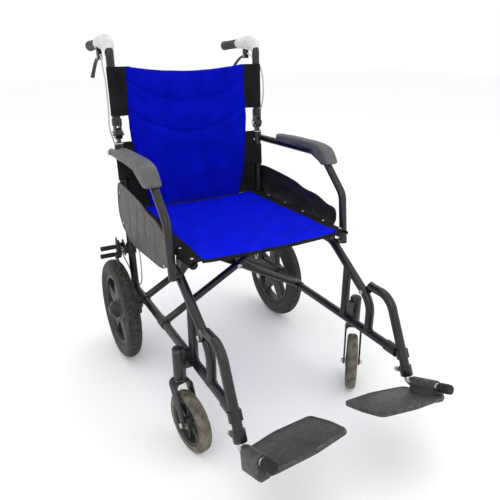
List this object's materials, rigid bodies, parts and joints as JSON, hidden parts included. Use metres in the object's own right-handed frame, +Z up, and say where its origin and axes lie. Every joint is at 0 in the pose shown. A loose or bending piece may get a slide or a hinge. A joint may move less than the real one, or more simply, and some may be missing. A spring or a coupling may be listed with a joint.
{
  "type": "folding wheelchair",
  "caption": "Folding attendant-propelled wheelchair with sling seat, half-folding back, fixed armrests, swivel casters, hand and parking brakes and flip-up footplates.",
  "frame": {"origin": "on the floor under the middle of the chair's length and width", "axes": "front faces -Y, +X towards the sitter's left, +Z up"},
  "size_m": [0.616, 1.0639, 0.9133],
  "materials": {
    "black_paint": "satin black powder coat",
    "black_fittings": "satin black coated steel",
    "pad_vinyl": "grey moulded soft foam with fine grain",
    "guard_plastic": "grey moulded plastic with fine texture",
    "zinc": "bright zinc-plated steel",
    "rear_tyre_rubber": "dark grey treaded rubber",
    "caster_tyre_rubber": "grey solid rubber",
    "rim_plastic": "black moulded nylon",
    "grip_rubber": "ribbed grey rubber",
    "white_foam": "soft white foam sleeve",
    "cable_sheath": "pale grey cable outer",
    "footplate_plastic": "dark grey grained plastic",
    "seat_fabric": "blue woven nylon with black edging",
    "back_fabric": "blue woven nylon with black sleeves"
  },
  "bodies": {
    "right_frame": {"rear_post_right": "black_paint", "front_tube_right": "black_paint", "lower_rail_right": "black_paint", "caster_post_right": "black_paint", "hanger_right": "black_paint", "arm_tube_right": "black_paint", "arm_pad_right": "pad_vinyl", "side_guard_right": "guard_plastic", "brake_bracket_right": "black_fittings", "hardware_right": "zinc", "brake_cable_right": "cable_sheath", "back_lower_right": "back_fabric"},
    "left_frame": {"rear_post_left": "black_paint", "front_tube_left": "black_paint", "lower_rail_left": "black_paint", "caster_post_left": "black_paint", "hanger_left": "black_paint", "arm_tube_left": "black_paint", "arm_pad_left": "pad_vinyl", "side_guard_left": "guard_plastic", "brake_bracket_left": "black_fittings", "hardware_left": "zinc", "brake_cable_left": "cable_sheath", "back_lower_left": "back_fabric"},
    "right_rear_wheel": {"rear_tyre_right": "rear_tyre_rubber", "rear_rim_right": "rim_plastic"},
    "right_caster_fork": {"fork_right": "black_fittings", "caster_axle_right": "zinc"},
    "right_caster_wheel": {"caster_tyre_right": "caster_tyre_rubber", "caster_rim_right": "rim_plastic"},
    "right_cane": {"cane_right": "black_paint", "grip_right": "grip_rubber", "handle_wrap_right": "white_foam", "lever_clamp_right": "black_fittings", "back_upper_right": "back_fabric"},
    "right_brake_lever": {"brake_lever_right": "black_fittings"},
    "right_park_lever": {"park_lever_right": "black_fittings"},
    "right_foot_stem": {"foot_stem_right": "zinc"},
    "right_footplate": {"footplate_right": "footplate_plastic"},
    "left_rear_wheel": {"rear_tyre_left": "rear_tyre_rubber", "rear_rim_left": "rim_plastic"},
    "left_caster_fork": {"fork_left": "black_fittings", "caster_axle_left": "zinc"},
    "left_caster_wheel": {"caster_tyre_left": "caster_tyre_rubber", "caster_rim_left": "rim_plastic"},
    "left_cane": {"cane_left": "black_paint", "grip_left": "grip_rubber", "handle_wrap_left": "white_foam", "lever_clamp_left": "black_fittings", "back_upper_left": "back_fabric"},
    "left_brake_lever": {"brake_lever_left": "black_fittings"},
    "left_park_lever": {"park_lever_left": "black_fittings"},
    "left_foot_stem": {"foot_stem_left": "zinc"},
    "left_footplate": {"footplate_left": "footplate_plastic"},
    "brace_a": {"brace_to_left_rail": "black_paint", "brace_bolts": "zinc", "seat_half_left": "seat_fabric"},
    "brace_b": {"brace_to_right_rail": "black_paint", "seat_half_right": "seat_fabric"}
  },
  "joints": [
    {"name": "fold", "type": "hinge", "parent": "right_frame", "child": "brace_a", "pos_m": [-0.22, 0.031, 0.207], "axis": [0, -1, 0], "range_deg": [0, 43], "deforming": ["seat_half_right", "seat_half_left", "back_upper_right", "back_upper_left", "back_lower_right", "back_lower_left"]},
    {"name": "brace_cross", "type": "hinge", "parent": "brace_a", "child": "brace_b", "pos_m": [0, 0.042, 0.32795], "axis": [0, -1, 0], "range_deg": [-86, 0]},
    {"name": "left_rail_pivot", "type": "hinge", "parent": "brace_b", "child": "left_frame", "pos_m": [0.22, 0.053, 0.207], "axis": [0, -1, 0], "range_deg": [0, 43]},
    {"name": "right_wheel_spin", "type": "hinge", "parent": "right_frame", "child": "right_rear_wheel", "pos_m": [-0.272, 0.271, 0.15], "axis": [1, 0, 0], "continuous": true},
    {"name": "right_caster_swivel", "type": "hinge", "parent": "right_frame", "child": "right_caster_fork", "pos_m": [-0.257, -0.171, 0.21], "axis": [0, 0, 1], "continuous": true},
    {"name": "right_caster_spin", "type": "hinge", "parent": "right_caster_fork", "child": "right_caster_wheel", "pos_m": [-0.25105, -0.20853, 0.075], "axis": [0.9877, 0.1564, 0], "continuous": true},
    {"name": "right_back_fold", "type": "hinge", "parent": "right_frame", "child": "right_cane", "pos_m": [-0.22, 0.3105, 0.661], "axis": [-1, 0, 0], "range_deg": [0, 115], "deforming": ["brake_cable_right"]},
    {"name": "right_hand_brake", "type": "hinge", "parent": "right_cane", "child": "right_brake_lever", "pos_m": [-0.228, 0.399, 0.856], "axis": [1, 0, 0], "range_deg": [0, 18], "stiffness_Nm_per_rad": 0.6, "springref_deg": -22.92},
    {"name": "right_park_brake", "type": "hinge", "parent": "right_frame", "child": "right_park_lever", "pos_m": [-0.258, 0.287, 0.33], "axis": [1, 0, 0], "range_deg": [0, 7]},
    {"name": "right_footrest_height", "type": "slide", "parent": "right_frame", "child": "right_foot_stem", "axis": [0, -0.4333, -0.9012], "range_m": [0, 0.05]},
    {"name": "right_footplate_flip", "type": "hinge", "parent": "right_foot_stem", "child": "right_footplate", "pos_m": [-0.224, -0.41213, 0.1477], "axis": [0, -0.9121, 0.4099], "range_deg": [0, 80]},
    {"name": "left_wheel_spin", "type": "hinge", "parent": "left_frame", "child": "left_rear_wheel", "pos_m": [0.272, 0.271, 0.15], "axis": [1, 0, 0], "continuous": true},
    {"name": "left_caster_swivel", "type": "hinge", "parent": "left_frame", "child": "left_caster_fork", "pos_m": [0.257, -0.171, 0.21], "axis": [0, 0, 1], "continuous": true},
    {"name": "left_caster_spin", "type": "hinge", "parent": "left_caster_fork", "child": "left_caster_wheel", "pos_m": [0.23309, -0.20053, 0.075], "axis": [0.7771, -0.6293, 0], "continuous": true},
    {"name": "left_back_fold", "type": "hinge", "parent": "left_frame", "child": "left_cane", "pos_m": [0.22, 0.3105, 0.661], "axis": [-1, 0, 0], "range_deg": [0, 115], "deforming": ["brake_cable_left"]},
    {"name": "left_hand_brake", "type": "hinge", "parent": "left_cane", "child": "left_brake_lever", "pos_m": [0.228, 0.399, 0.856], "axis": [1, 0, 0], "range_deg": [0, 18], "stiffness_Nm_per_rad": 0.6, "springref_deg": -22.92},
    {"name": "left_park_brake", "type": "hinge", "parent": "left_frame", "child": "left_park_lever", "pos_m": [0.258, 0.287, 0.33], "axis": [1, 0, 0], "range_deg": [0, 7]},
    {"name": "left_footrest_height", "type": "slide", "parent": "left_frame", "child": "left_foot_stem", "axis": [0, -0.4333, -0.9012], "range_m": [0, 0.05]},
    {"name": "left_footplate_flip", "type": "hinge", "parent": "left_foot_stem", "child": "left_footplate", "pos_m": [0.224, -0.41213, 0.1477], "axis": [0, 0.9121, -0.4099], "range_deg": [0, 80]}
  ],
  "couplings": [
    {"joint": "brace_cross", "follows": "fold", "ratio": -2},
    {"joint": "left_rail_pivot", "follows": "fold", "ratio": 1},
    {"joint": "right_footplate_flip", "follows": "fold", "ratio": 1.8605},
    {"joint": "left_footplate_flip", "follows": "fold", "ratio": 1.8605},
    {"joint": "left_back_fold", "follows": "right_back_fold", "ratio": 1}
  ]
}
